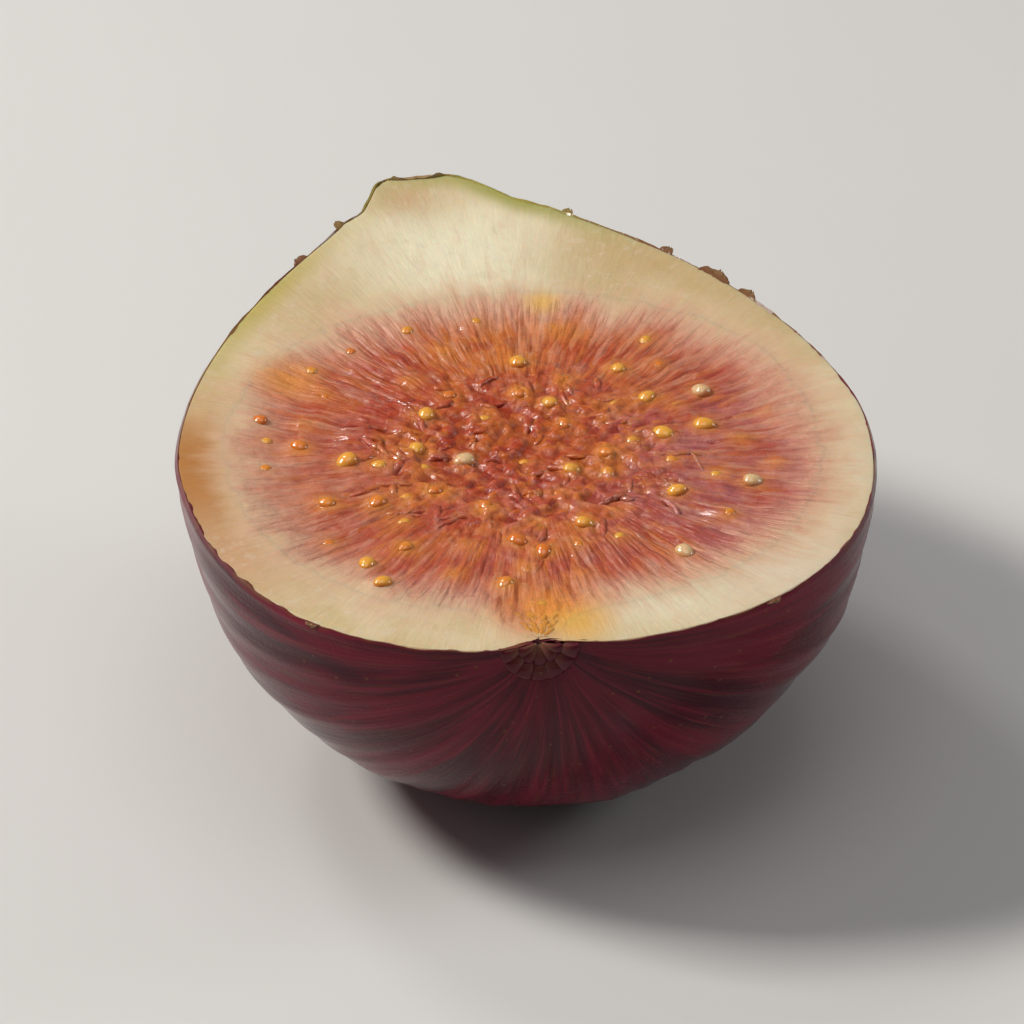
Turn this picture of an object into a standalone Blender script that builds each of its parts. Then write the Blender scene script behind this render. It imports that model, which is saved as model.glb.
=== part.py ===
"""Half of a fresh fig, cut from stem to eye and lying on its rounded skin with the cut face up.

The fig grew as one piece, so it is one solid: skin, pale flesh, red pulp with its florets, seeds and
the scales round the eye. +Y runs from the eye to the stem, +Z up. The origin is the middle of the
fig's footprint, on the surface that it lies on. All sizes are in metres.
"""

import math
import random

import bmesh
import bpy
from mathutils import Matrix, Vector

# Driving dimensions of the whole half
FIG_LENGTH = 0.0556
BULB_WIDTH = 0.0443
BULB_DEPTH = 0.0215
BULB_LENGTH = 0.0520
WIDEST_AT = 0.0230
LEAN = 0.0023
LEAN_POWER = 5.0
REST_CUT = 0.0005

# How fast the bulb rounds off towards its two ends: a higher power makes a blunter end
EYE_END_POWER = 2.35
STEM_END_POWER = 1.62

# Stem stub
STEM_RADIUS = 0.0027
NECK_FLARE = 0.0034
NECK_LENGTH = 0.0050
NECK_JOIN_POWER = 2.8
STEM_EDGE_POINTS = 5

# Ribs of the skin, and the eye at its blunt end
RIBS = 14
RIB_HEIGHT = 0.00011
BROAD_LOBES = 5
BROAD_LOBE_HEIGHT = 0.00014
EYE_RADIUS = 0.0024
EYE_DEPTH = 0.0009
EYE_SCALES = 5
EYE_SCALE_SIZE = (0.0010, 0.0004, 0.0009)
EYE_SCALE_FIRST_TURN = math.radians(32)

# Layers that the cut shows
SKIN_THICKNESS = 0.00035
SKIN_LIP = 0.00020
FLESH_DISH = 0.00025
PULP_CENTRE = Vector((0.0023, 0.0228))
PULP_HALF_WIDTH = 0.0189
PULP_TO_STEM = 0.0184
PULP_TO_EYE = 0.0180
PULP_POWER = 2.15
EYE_CHANNEL_LENGTH = 0.0034
EYE_CHANNEL_HALF_ANGLE = math.radians(7.5)

# Florets of the pulp, as relief in staggered rows that point to the middle
PULP_SINK = 0.00060
FLORET_ROWS = 4
RINGS_PER_ROW = 3
FLORET_HEIGHT = 0.00030
HOLLOW_DEPTH = 0.00050
HOLLOW_SHARE = 0.35

# Seeds
SEEDS = 58
SEED_HALF_LENGTH = 0.00072
SEED_HALF_WIDTH = 0.00058
SEED_GAP = 0.0027
SEED_RISE = 0.00012
SEED_FREE_EDGE = 0.88
RANDOM_SEED = 11

# Mesh fineness
STATIONS = 43
SKIN_STEPS = 36
FLESH_RINGS = 3
SEED_SIDES = 7
SEED_RINGS = 5

# The cut face's rings have one point for each point of its outline, and one floret for each two
OUTLINE_POINTS = 1 + 2 * STATIONS + STEM_EDGE_POINTS
FLORETS_ROUND = OUTLINE_POINTS // 2
PULP_RINGS = FLORET_ROWS * RINGS_PER_ROW

SKIN, FLESH, PULP, SEED = range(4)
MATERIALS = (
    ("fig_skin", (0.105, 0.018, 0.045), 0.34),
    ("fig_flesh", (0.80, 0.68, 0.42), 0.38),
    ("fig_pulp", (0.50, 0.075, 0.045), 0.26),
    ("fig_seed", (0.83, 0.42, 0.075), 0.22),
)


def make_material(name, colour, roughness):
    material = bpy.data.materials.new(name)
    material.use_nodes = True
    shader = material.node_tree.nodes["Principled BSDF"]
    shader.inputs["Base Color"].default_value = (*colour, 1.0)
    shader.inputs["Roughness"].default_value = roughness
    shader.inputs["Metallic"].default_value = 0.0
    material.diffuse_color = (*colour, 1.0)
    return material


def bulge(y):
    """Share of the bulb's full girth at a distance y from the eye: 1 where the fig is widest."""
    if y < WIDEST_AT:
        away, power = (WIDEST_AT - y) / WIDEST_AT, EYE_END_POWER
    else:
        away, power = (y - WIDEST_AT) / (BULB_LENGTH - WIDEST_AT), STEM_END_POWER
    return max(0.0, 1.0 - away**power) ** (1.0 / power)


def neck_radius(y):
    """Radius of the stem stub, which flares towards the bulb and dies out in its widest part."""
    if y < WIDEST_AT:
        return 0.0
    below_tip = min(1.0, (FIG_LENGTH - y) / NECK_LENGTH)
    past_widest = min(1.0, (y - WIDEST_AT) / (FIG_LENGTH - NECK_LENGTH - WIDEST_AT))
    return (STEM_RADIUS + NECK_FLARE * below_tip) * past_widest


def joined(bulb, neck):
    """The larger of two radii, with a smooth hollow where they meet."""
    return (bulb**NECK_JOIN_POWER + neck**NECK_JOIN_POWER) ** (1.0 / NECK_JOIN_POWER)


def skin_relief(y, turn):
    """How far the skin stands out: fine ribs from eye to stem, over a few broad lobes."""
    ribs = RIB_HEIGHT * math.cos(RIBS * turn + 0.6 * math.sin(3.0 * turn))
    lobes = BROAD_LOBE_HEIGHT * math.sin(BROAD_LOBES * turn + 1.0) * math.sin(turn)
    return (ribs + lobes) * bulge(y)


def eye_dimple(radius):
    """How far the skin is drawn in towards the stem, round the eye."""
    return EYE_DEPTH * math.exp(-((radius / EYE_RADIUS) ** 2))


def lean(y):
    """How far the fig's middle stands to the right: not at all at the eye and at the stem's end."""
    if y < WIDEST_AT:
        return LEAN * math.sqrt(bulge(y))
    return LEAN * (1.0 - ((y - WIDEST_AT) / (FIG_LENGTH - WIDEST_AT)) ** LEAN_POWER)


def skin_point(y, turn):
    """turn runs from 0 at the cut's right edge, under the fig, to pi at its left edge."""
    swell = bulge(y)
    relief = skin_relief(y, turn)
    half_width = joined(BULB_WIDTH / 2 * swell, neck_radius(y)) + relief
    depth = joined(BULB_DEPTH * swell, neck_radius(y)) + relief
    across = half_width * math.cos(turn)
    down = depth * math.sin(turn)
    along = y + eye_dimple(math.hypot(across, down)) * (y < WIDEST_AT)
    return Vector((lean(y) + across, along, BULB_DEPTH - down))


def stations():
    """Distances from the eye, evenly spaced along the skin's own outline."""
    dense = [FIG_LENGTH * (1 - math.cos(math.pi * k / 800)) / 2 for k in range(801)]
    girths = [joined(BULB_WIDTH / 2 * bulge(y), neck_radius(y)) for y in dense]
    run = [0.0]
    for k in range(1, len(dense)):
        run.append(run[-1] + math.hypot(dense[k] - dense[k - 1], girths[k] - girths[k - 1]))
    chosen, k = [], 0
    for step in range(1, STATIONS + 1):
        wanted = run[-1] * step / STATIONS
        while k < len(run) - 1 and run[k] < wanted:
            k += 1
        chosen.append(dense[k])
    return chosen


def angle_to_eye():
    """Direction from the pulp's middle to the eye, seen from above."""
    return math.atan2(-PULP_CENTRE.y, -PULP_CENTRE.x)


def pulp_radius(angle):
    """Distance from the pulp's middle to its edge. A short channel runs out of it to the eye."""
    length = PULP_TO_STEM if math.sin(angle) > 0 else PULP_TO_EYE
    reach = (
        abs(math.cos(angle) / PULP_HALF_WIDTH) ** PULP_POWER + abs(math.sin(angle) / length) ** PULP_POWER
    ) ** (-1.0 / PULP_POWER)
    off_channel = math.remainder(angle - angle_to_eye(), math.tau) / EYE_CHANNEL_HALF_ANGLE
    return reach + EYE_CHANNEL_LENGTH * math.exp(-(off_channel**2))


def pulp_height(share, angle):
    """Height of the pulp's surface. share is 0 in its middle and 1 where it meets the flesh."""
    row = share * FLORET_ROWS
    stagger = math.pi * (int(row) % 2)
    ridge = math.cos(FLORETS_ROUND * angle + stagger)
    swell = math.sin(math.pi * (row % 1.0)) ** 2
    middle = min(1.0, share / HOLLOW_SHARE)
    florets = FLORET_HEIGHT * ridge * swell * middle
    hollow = HOLLOW_DEPTH * (1 - middle) ** 2
    step_down = PULP_SINK * min(1.0, (1 - share) * 4.0)
    return BULB_DEPTH - SKIN_LIP - FLESH_DISH - step_down - hollow + florets


def pulp_point(share, angle):
    spot = PULP_CENTRE + share * pulp_radius(angle) * Vector((math.cos(angle), math.sin(angle)))
    return Vector((spot.x, spot.y, pulp_height(share, angle)))


def add_strip(mesh, outer, inner, material):
    """Quads between two closed rings of vertices."""
    for k in range(len(outer)):
        after = (k + 1) % len(outer)
        mesh.faces.new((outer[k], outer[after], inner[after], inner[k])).material_index = material


def add_skin(mesh):
    """The skin from the eye to the stem's cut end. Returns the outline of the cut face."""
    eye = mesh.verts.new(skin_point(0.0, 0.0))
    turns = [math.pi * j / SKIN_STEPS for j in range(SKIN_STEPS + 1)]
    rows = [[mesh.verts.new(skin_point(y, turn)) for turn in turns] for y in stations()]
    for j in range(SKIN_STEPS):
        mesh.faces.new((eye, rows[0][j + 1], rows[0][j]))
    for lower, upper in zip(rows, rows[1:]):
        for j in range(SKIN_STEPS):
            mesh.faces.new((lower[j], lower[j + 1], upper[j + 1], upper[j]))
    right, left = rows[-1][0].co, rows[-1][-1].co
    shares = [k / (STEM_EDGE_POINTS + 1) for k in range(1, STEM_EDGE_POINTS + 1)]
    stem_edge = [mesh.verts.new(right.lerp(left, share)) for share in shares]
    mesh.faces.new([*rows[-1], *reversed(stem_edge)])
    return [eye, *(row[0] for row in rows), *stem_edge, *(row[-1] for row in reversed(rows))]


def inward(points, k):
    """Direction into the cut face, square to its outline, at outline point k."""
    along = points[(k + 1) % len(points)] - points[k - 1]
    return Vector((-along.y, along.x)).normalized()


def add_cut_face(mesh, outline):
    """Skin edge, flesh and pulp, as rings that shrink from the outline to the pulp's middle."""
    flat = [vertex.co.xy for vertex in outline]
    flesh_top = BULB_DEPTH - SKIN_LIP
    edge = [flat[k] + SKIN_THICKNESS * inward(flat, k) for k in range(len(flat))]
    step = math.tau / OUTLINE_POINTS
    first = round(angle_to_eye() / step)
    angles = [(first + k) * step for k in range(OUTLINE_POINTS)]
    ring = [mesh.verts.new((spot.x, spot.y, flesh_top)) for spot in edge]
    add_strip(mesh, outline, ring, SKIN)
    for count in range(1, FLESH_RINGS + 1):
        share = count / FLESH_RINGS
        inner = []
        for spot, angle in zip(edge, angles):
            border = pulp_point(1.0, angle)
            place = spot.lerp(border.xy, share)
            height = flesh_top - FLESH_DISH * share
            inner.append(mesh.verts.new((place.x, place.y, height)))
        add_strip(mesh, ring, inner, FLESH)
        ring = inner
    for count in range(1, PULP_RINGS):
        share = 1 - count / PULP_RINGS
        inner = [mesh.verts.new(pulp_point(share, angle)) for angle in angles]
        add_strip(mesh, ring, inner, PULP)
        ring = inner
    middle = mesh.verts.new(pulp_point(0.0, 0.0))
    for k in range(len(ring)):
        mesh.faces.new((ring[k], ring[(k + 1) % len(ring)], middle)).material_index = PULP


def cut_rest_spot(mesh):
    """A small flat under the bulb, on which the half lies still."""
    geometry = [*mesh.verts, *mesh.edges, *mesh.faces]
    cut = bmesh.ops.bisect_plane(
        mesh, geom=geometry, plane_co=(0, 0, REST_CUT), plane_no=(0, 0, -1), clear_outer=True
    )
    rim = [item for item in cut["geom_cut"] if isinstance(item, bmesh.types.BMEdge)]
    bmesh.ops.holes_fill(mesh, edges=rim)


def seed_spots():
    """Scattered seeds, each clear of the others: (share of the pulp's radius, angle)."""
    draw = random.Random(RANDOM_SEED)
    spots, places = [], []
    while len(spots) < SEEDS:
        share = SEED_FREE_EDGE * math.sqrt(draw.random())
        angle = draw.uniform(-math.pi, math.pi)
        place = pulp_point(share, angle).xy
        if all((place - other).length > SEED_GAP for other in places):
            spots.append((share, angle))
            places.append(place)
    return spots


def make_seed(name, place, angle, draw):
    """One seed, a little longer than wide, lying with its length roughly towards the middle."""
    size = draw.uniform(0.85, 1.12)
    shape = bmesh.new()
    bmesh.ops.create_uvsphere(shape, u_segments=SEED_SIDES, v_segments=SEED_RINGS, radius=1.0)
    grow = Matrix.Diagonal((SEED_HALF_LENGTH * size, SEED_HALF_WIDTH * size, SEED_HALF_WIDTH * size, 1))
    turn = Matrix.Rotation(angle + draw.uniform(-0.6, 0.6), 4, "Z")
    shape.transform(Matrix.Translation(place) @ turn @ grow)
    for face in shape.faces:
        face.material_index = SEED
    return add_object(name, shape)


def make_eye_scale(name, turn):
    """One of the small scales that close over the eye, with its root sunk in the skin."""
    length, thickness, width = EYE_SCALE_SIZE
    shape = bmesh.new()
    bmesh.ops.create_uvsphere(shape, u_segments=SEED_SIDES, v_segments=SEED_RINGS, radius=1.0)
    shape.transform(Matrix.Diagonal((length, thickness, width, 1)))
    face_out = Matrix.Rotation(turn, 4, "Y") @ Matrix.Translation((EYE_RADIUS * 0.8, 0.0, 0.0))
    centre = Matrix.Translation((0.0, EYE_DEPTH * 0.62, BULB_DEPTH))
    lean_in = Matrix.Rotation(math.radians(-28), 4, "Z")
    shape.transform(centre @ face_out @ lean_in)
    for face in shape.faces:
        face.material_index = SKIN
    return add_object(name, shape)


def add_object(name, shape):
    """A bmesh as a smooth-shaded object with the fig's materials."""
    bmesh.ops.recalc_face_normals(shape, faces=shape.faces)
    mesh = bpy.data.meshes.new(name)
    shape.to_mesh(mesh)
    shape.free()
    for material_name, _, _ in MATERIALS:
        mesh.materials.append(bpy.data.materials[material_name])
    mesh.shade_smooth()
    mesh.set_sharp_from_angle(angle=math.radians(50))
    made = bpy.data.objects.new(name, mesh)
    bpy.context.scene.collection.objects.link(made)
    return made


def fuse(body, repeats):
    """Joins the repeats to the body by one Boolean union, applies it and removes them."""
    collection = bpy.data.collections.new("fused_repeats")
    bpy.context.scene.collection.children.link(collection)
    for piece in repeats:
        bpy.context.scene.collection.objects.unlink(piece)
        collection.objects.link(piece)
    union = body.modifiers.new("fuse", "BOOLEAN")
    union.operation = "UNION"
    union.operand_type = "COLLECTION"
    union.collection = collection
    union.solver = "EXACT"
    bpy.context.view_layer.update()
    evaluated = body.evaluated_get(bpy.context.evaluated_depsgraph_get())
    fused = bpy.data.meshes.new_from_object(evaluated)
    body.modifiers.clear()
    body.data = fused
    for piece in repeats:
        bpy.data.objects.remove(piece)
    bpy.data.collections.remove(collection)


def footprint_middle(body):
    """Middle of the fig's box as seen from above, at the height of the rest spot."""
    corners = [Vector(corner) for corner in body.bound_box]
    low = Vector([min(corner[axis] for corner in corners) for axis in range(3)])
    high = Vector([max(corner[axis] for corner in corners) for axis in range(3)])
    return Vector(((low.x + high.x) / 2, (low.y + high.y) / 2, low.z))


def main():
    for old in list(bpy.data.objects):
        bpy.data.objects.remove(old)
    for name, colour, roughness in MATERIALS:
        make_material(name, colour, roughness)
    shape = bmesh.new()
    add_cut_face(shape, add_skin(shape))
    cut_rest_spot(shape)
    fig = add_object("fig_half", shape)
    draw = random.Random(RANDOM_SEED + 1)
    repeats = []
    for number, (share, angle) in enumerate(seed_spots()):
        place = pulp_point(share, angle) + Vector((0, 0, SEED_RISE))
        repeats.append(make_seed(f"seed_{number:02d}", place, angle, draw))
    for number in range(EYE_SCALES):
        spread = number / (EYE_SCALES - 1)
        turn = EYE_SCALE_FIRST_TURN + spread * (math.pi - 2 * EYE_SCALE_FIRST_TURN)
        repeats.append(make_eye_scale(f"scale_{number:02d}", turn))
    fuse(fig, repeats)
    fig.data.transform(Matrix.Translation(-footprint_middle(fig)))


main()
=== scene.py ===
"""The looks of half a fresh fig: glossy dark skin, cream flesh, seedy red pulp.

All lengths are in metres. The shape is worked out in the fig's own frame, where the eye is at the
origin, +Y runs to the stem and the cut face lies at the bulb's depth, and is then set on the frame.
"""

import math
import random

import bpy
import numpy as np
from mathutils import Matrix, Vector, noise


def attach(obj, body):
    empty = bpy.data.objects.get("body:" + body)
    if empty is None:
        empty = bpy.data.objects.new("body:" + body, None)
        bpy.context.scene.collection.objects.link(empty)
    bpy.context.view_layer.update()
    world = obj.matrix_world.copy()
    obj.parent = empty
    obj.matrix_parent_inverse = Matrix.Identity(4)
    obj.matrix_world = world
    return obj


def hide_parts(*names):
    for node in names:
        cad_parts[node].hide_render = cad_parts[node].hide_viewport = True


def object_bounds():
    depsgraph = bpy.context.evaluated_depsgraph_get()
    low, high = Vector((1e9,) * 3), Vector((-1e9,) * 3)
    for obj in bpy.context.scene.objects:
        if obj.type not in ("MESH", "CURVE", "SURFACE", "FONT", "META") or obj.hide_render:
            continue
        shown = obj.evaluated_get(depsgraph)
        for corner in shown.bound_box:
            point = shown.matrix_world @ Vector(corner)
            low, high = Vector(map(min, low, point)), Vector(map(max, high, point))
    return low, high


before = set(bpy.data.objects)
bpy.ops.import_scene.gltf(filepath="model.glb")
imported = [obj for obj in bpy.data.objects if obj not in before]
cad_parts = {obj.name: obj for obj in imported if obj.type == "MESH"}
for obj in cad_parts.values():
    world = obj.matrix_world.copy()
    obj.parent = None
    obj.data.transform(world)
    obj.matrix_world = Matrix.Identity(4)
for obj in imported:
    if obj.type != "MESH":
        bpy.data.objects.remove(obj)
CAD_LOW, CAD_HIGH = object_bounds()

MM = 0.001

# Driving dimensions of the half, the same as the solid's
FIG_LENGTH = 55.6 * MM
BULB_WIDTH = 44.3 * MM
BULB_DEPTH = 21.5 * MM
BULB_LENGTH = 52.0 * MM
WIDEST_AT = 23.0 * MM
LEAN = 2.3 * MM
LEAN_POWER = 5.0
REST_CUT = 0.5 * MM
EYE_END_POWER = 2.35
STEM_END_POWER = 1.62
STEM_RADIUS = 2.7 * MM
NECK_FLARE = 3.4 * MM
NECK_LENGTH = 5.0 * MM
NECK_JOIN_POWER = 2.8
RIBS = 14
RIB_HEIGHT = 0.11 * MM
BROAD_LOBES = 5
BROAD_LOBE_HEIGHT = 0.14 * MM
EYE_RADIUS = 2.4 * MM
EYE_DEPTH = 0.9 * MM

# The stub's cut end has worn corners
STEM_CORNER_LENGTH = 1.3 * MM
STEM_CORNER_DROP = 0.9 * MM

# Layers that the cut shows
SKIN_THICKNESS = 0.28 * MM
SKIN_LIP = 0.03 * MM
FLESH_DISH = 0.30 * MM
FLESH_DISH_REACH = 6.0 * MM
PULP_CENTRE = np.array((2.3 * MM, 22.8 * MM))
PULP_HALF_WIDTH = 18.9 * MM
PULP_TO_STEM = 18.4 * MM
PULP_TO_EYE = 18.0 * MM
PULP_POWER = 2.15
EYE_CHANNEL_LENGTH = 3.4 * MM
EYE_CHANNEL_HALF_ANGLE = math.radians(7.5)
PULP_SINK = 0.45 * MM
HOLLOW_DEPTH = 0.45 * MM
HOLLOW_SHARE = 0.35

# Seeds that the solid also has
SOLID_SEEDS = 58
SOLID_SEED_GAP = 2.7 * MM
SOLID_SEED_FREE_EDGE = 0.88
RANDOM_SEED = 11

# The camera's angle, and two points of the fig in the photograph that fix its place there
ELEVATION = math.radians(34)
METRES_PER_PIXEL = 45 * MM / 222.5
EYE_PIXEL = (631.0, 478.5)
STEM_PIXEL = (590.7, 325.4)

# Seeds by their pixels in the photograph: golden and cream ones that stand out, orange ones half sunk
GOLD_SEED_PIXELS = (
    (595, 403), (624, 386), (656, 388), (665, 397), (683, 406), (670, 409), (641, 420),
    (674, 427), (645, 437), (577, 450), (582, 457), (570, 418), (592, 414), (634, 399),
)
CREAM_SEED_PIXELS = ((682, 395), (676, 446), (607, 417), (698, 424))
ORANGE_SEED_PIXELS = (
    (542, 406), (555, 413), (564, 431), (580, 431), (589, 445), (598, 427), (624, 443),
    (632, 446), (620, 456), (625, 396), (652, 415), (614, 432),
)


def smoothstep(value, low, high):
    """0 below low, 1 above high, smooth between them. It falls where low is the larger."""
    share = np.clip((value - low) / (high - low), 0.0, 1.0)
    return share * share * (3.0 - 2.0 * share)


def bulge(y):
    """Share of the bulb's full girth at a distance y from the eye: 1 where the fig is widest."""
    to_eye = y < WIDEST_AT
    away = np.where(to_eye, (WIDEST_AT - y) / WIDEST_AT, (y - WIDEST_AT) / (BULB_LENGTH - WIDEST_AT))
    power = np.where(to_eye, EYE_END_POWER, STEM_END_POWER)
    return np.clip(1.0 - np.clip(away, 0.0, 1.0) ** power, 0.0, 1.0) ** (1.0 / power)


def neck_radius(y):
    """Radius of the stem stub, which flares towards the bulb and dies out in its widest part."""
    below_tip = np.clip((FIG_LENGTH - y) / NECK_LENGTH, 0.0, 1.0)
    past_widest = np.clip((y - WIDEST_AT) / (FIG_LENGTH - NECK_LENGTH - WIDEST_AT), 0.0, 1.0)
    at_corner = np.clip(1.0 - (FIG_LENGTH - y) / STEM_CORNER_LENGTH, 0.0, 1.0)
    worn = STEM_CORNER_DROP * (1.0 - np.sqrt(1.0 - at_corner**2))
    return (STEM_RADIUS + NECK_FLARE * below_tip) * past_widest - worn


def joined(bulb, neck):
    """The larger of two radii, with a smooth hollow where they meet."""
    return (bulb**NECK_JOIN_POWER + neck**NECK_JOIN_POWER) ** (1.0 / NECK_JOIN_POWER)


def half_width(y):
    return joined(BULB_WIDTH / 2 * bulge(y), neck_radius(y))


def depth(y):
    return joined(BULB_DEPTH * bulge(y), neck_radius(y))


def skin_relief(y, turn):
    """How far the skin stands out: ribs from eye to stem, over a few broad lobes."""
    ribs = RIB_HEIGHT * np.cos(RIBS * turn + 0.6 * np.sin(3.0 * turn))
    lobes = BROAD_LOBE_HEIGHT * np.sin(BROAD_LOBES * turn + 1.0) * np.sin(turn)
    return (ribs + lobes) * bulge(y)


def along_skin(share):
    """Distance from the eye at a share of the skin's outline, measured along the outline."""
    dense = FIG_LENGTH * (1 - np.cos(np.linspace(0, math.pi, 2001))) / 2
    girth = half_width(dense)
    run = np.concatenate(([0.0], np.cumsum(np.hypot(np.diff(dense), np.diff(girth)))))
    return np.interp(share, run / run[-1], dense)


def eye_dimple(radius):
    """How far the skin is drawn in towards the stem, round the eye."""
    return EYE_DEPTH * np.exp(-((radius / EYE_RADIUS) ** 2))


def lean(y):
    """How far the fig's middle stands to the right: not at all at the eye and at the stem's end."""
    past_widest = np.clip((y - WIDEST_AT) / (FIG_LENGTH - WIDEST_AT), 0.0, 1.0)
    return LEAN * np.where(y < WIDEST_AT, np.sqrt(bulge(y)), 1.0 - past_widest**LEAN_POWER)


def skin_place(y, turn, shrink=1.0, swell=0.0):
    """Points of the skin. turn is 0 at the cut's right edge, under the fig, and pi at its left edge."""
    relief = skin_relief(y, turn) + swell
    across = (half_width(y) + relief) * np.cos(turn) * shrink
    down = (depth(y) + relief) * np.sin(turn) * shrink
    along = y + eye_dimple(np.hypot(across, down)) * (y < WIDEST_AT)
    return np.stack((lean(y) + across, along, BULB_DEPTH - down), axis=1)


def cut_outline(inset, share):
    """Points of the cut face's outline, drawn in by inset, at shares of its whole length from the eye."""
    y = along_skin(np.linspace(0, 1, 1200))
    right = skin_place(y, np.zeros_like(y))[:, :2]
    left = skin_place(y, np.full_like(y, math.pi))[:, :2]
    ring = np.concatenate((right, left[::-1][:-1]))
    ahead = np.roll(ring, -1, axis=0) - np.roll(ring, 1, axis=0)
    ahead /= np.linalg.norm(ahead, axis=1)[:, None]
    ring = ring + inset * np.stack((-ahead[:, 1], ahead[:, 0]), axis=1)
    closed = np.concatenate((ring, ring[:1]))
    run = np.concatenate(([0.0], np.cumsum(np.linalg.norm(np.diff(closed, axis=0), axis=1))))
    share = share * run[-1]
    return np.stack((np.interp(share, run, closed[:, 0]), np.interp(share, run, closed[:, 1])), axis=1)


def pulp_radius(angle):
    """Distance from the pulp's middle to its edge. A short channel runs out of it to the eye."""
    length = np.where(np.sin(angle) > 0, PULP_TO_STEM, PULP_TO_EYE)
    wide = np.abs(np.cos(angle) / PULP_HALF_WIDTH) ** PULP_POWER
    tall = np.abs(np.sin(angle) / length) ** PULP_POWER
    to_eye = math.atan2(-PULP_CENTRE[1], -PULP_CENTRE[0])
    off_channel = np.remainder(angle - to_eye + math.pi, math.tau) - math.pi
    channel = EYE_CHANNEL_LENGTH * np.exp(-((off_channel / EYE_CHANNEL_HALF_ANGLE) ** 2))
    return (wide + tall) ** (-1.0 / PULP_POWER) + channel


def share_of(plan):
    """Share of the way from the pulp's middle to its edge: over 1 in the flesh."""
    away = plan - PULP_CENTRE
    angle = np.arctan2(away[..., 1], away[..., 0])
    return np.hypot(away[..., 0], away[..., 1]) / pulp_radius(angle)


def rays_at(angle):
    return np.stack((np.cos(angle), np.sin(angle)), axis=-1)


def off_eye(pixel):
    """How far a pixel of the photograph lies across and away from the eye's, on the level cut face."""
    across = (pixel[0] - EYE_PIXEL[0]) * METRES_PER_PIXEL
    return across, (EYE_PIXEL[1] - pixel[1]) * METRES_PER_PIXEL / math.sin(ELEVATION)


def view_turn():
    """How far the camera stands round the fig from the line of its eye and stem."""
    return math.atan2(*off_eye(STEM_PIXEL))


def plan_at(share, angle):
    """The place at an angle from the pulp's middle, at a share of the way to its edge."""
    return PULP_CENTRE + share * float(pulp_radius(np.array(angle))) * rays_at(angle)


def from_pixel(pixel):
    """Where a pixel of the photograph falls on the cut face, in the fig's own plan."""
    across, away = off_eye(pixel)
    cosine, sine = math.cos(view_turn()), math.sin(view_turn())
    return np.array((across * cosine - away * sine, away * cosine + across * sine))


def on_frame():
    """The move that sets the fig's own frame on the CAD's."""
    outline = cut_outline(0.0, np.linspace(0, 1, 1500))
    middle = (outline.min(axis=0) + outline.max(axis=0)) / 2
    target = (CAD_LOW + CAD_HIGH) / 2
    return np.array((target.x - middle[0], target.y - middle[1], -REST_CUT))


SHIFT = on_frame()


class PlanMap:
    """Numbers on an even grid over the cut face's plan, read off between its points."""

    def __init__(self, low, high, pitch, value=0.0):
        self.low = np.array(low)
        self.pitch = pitch
        columns, rows = np.ceil((np.array(high) - self.low) / pitch).astype(int) + 1
        self.values = np.full((rows, columns), value)

    def plans(self, rows=slice(None), columns=slice(None)):
        """Places of a block of the grid's points."""
        row, column = np.mgrid[: self.values.shape[0], : self.values.shape[1]][:, rows, columns]
        return self.low + self.pitch * np.stack((column, row), axis=-1)

    def read(self, plan):
        rows, columns = self.values.shape
        column, row = ((plan - self.low) / self.pitch).T
        column = np.clip(column, 0, columns - 1.001)
        row = np.clip(row, 0, rows - 1.001)
        left, below = column.astype(int), row.astype(int)
        right_share, above_share = column - left, row - below
        lower = self.values[below, left] * (1 - right_share) + self.values[below, left + 1] * right_share
        upper = self.values[below + 1, left] * (1 - right_share)
        upper += self.values[below + 1, left + 1] * right_share
        return lower * (1 - above_share) + upper * above_share

    def blurred(self, cells):
        """A copy in which each number is a mean of those round it."""
        copy = PlanMap(self.low, self.low, self.pitch)
        values = self.values
        for axis in (0, 1, 0, 1):
            pads = [(cells + 1, cells) if axis == side else (0, 0) for side in (0, 1)]
            total = np.cumsum(np.pad(values, pads, mode="edge"), axis=axis)
            count = values.shape[axis]
            ahead = np.take(total, np.arange(count) + 2 * cells + 1, axis)
            values = (ahead - np.take(total, np.arange(count), axis)) / (2 * cells + 1)
        copy.values = values
        return copy


SKIN_MAP_PITCH = 0.3 * MM


def map_skin_distance():
    """How far each place of the cut face is from the fig's outline."""
    outline = cut_outline(0.0, np.linspace(0, 1, 900))
    margin = 1.0 * MM
    distance = PlanMap(outline.min(axis=0) - margin, outline.max(axis=0) + margin, SKIN_MAP_PITCH)
    for row, plans in enumerate(distance.plans()):
        away = plans[:, None, :] - outline[None, :, :]
        distance.values[row] = np.sqrt((away**2).sum(axis=2).min(axis=1))
    return distance


SKIN_DISTANCE = map_skin_distance()


def face_level(plan):
    """Height of the cut face: nearly level flesh, a step down into the pulp and a hollow in its middle."""
    share = share_of(plan)
    dish = FLESH_DISH * smoothstep(SKIN_DISTANCE.read(plan), 0.0, FLESH_DISH_REACH)
    step_down = PULP_SINK * smoothstep(share, 1.02, 0.78)
    hollow = HOLLOW_DEPTH * (1 - np.clip(share / HOLLOW_SHARE, 0.0, 1.0)) ** 2
    return BULB_DEPTH - SKIN_LIP - dish - step_down - hollow


# Mesh helpers


def named(name):
    piece = bpy.context.object
    piece.name = name
    piece.data.name = name
    return piece


def select_only(pieces):
    bpy.ops.object.select_all(action="DESELECT")
    for piece in pieces:
        piece.select_set(True)
    bpy.context.view_layer.objects.active = pieces[0]


def edit_whole(piece, operation, **options):
    """Runs an edit-mode operation on the whole of a piece."""
    select_only([piece])
    bpy.ops.object.mode_set(mode="EDIT")
    bpy.ops.mesh.select_all(action="SELECT")
    operation(**options)
    bpy.ops.object.mode_set(mode="OBJECT")


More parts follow.
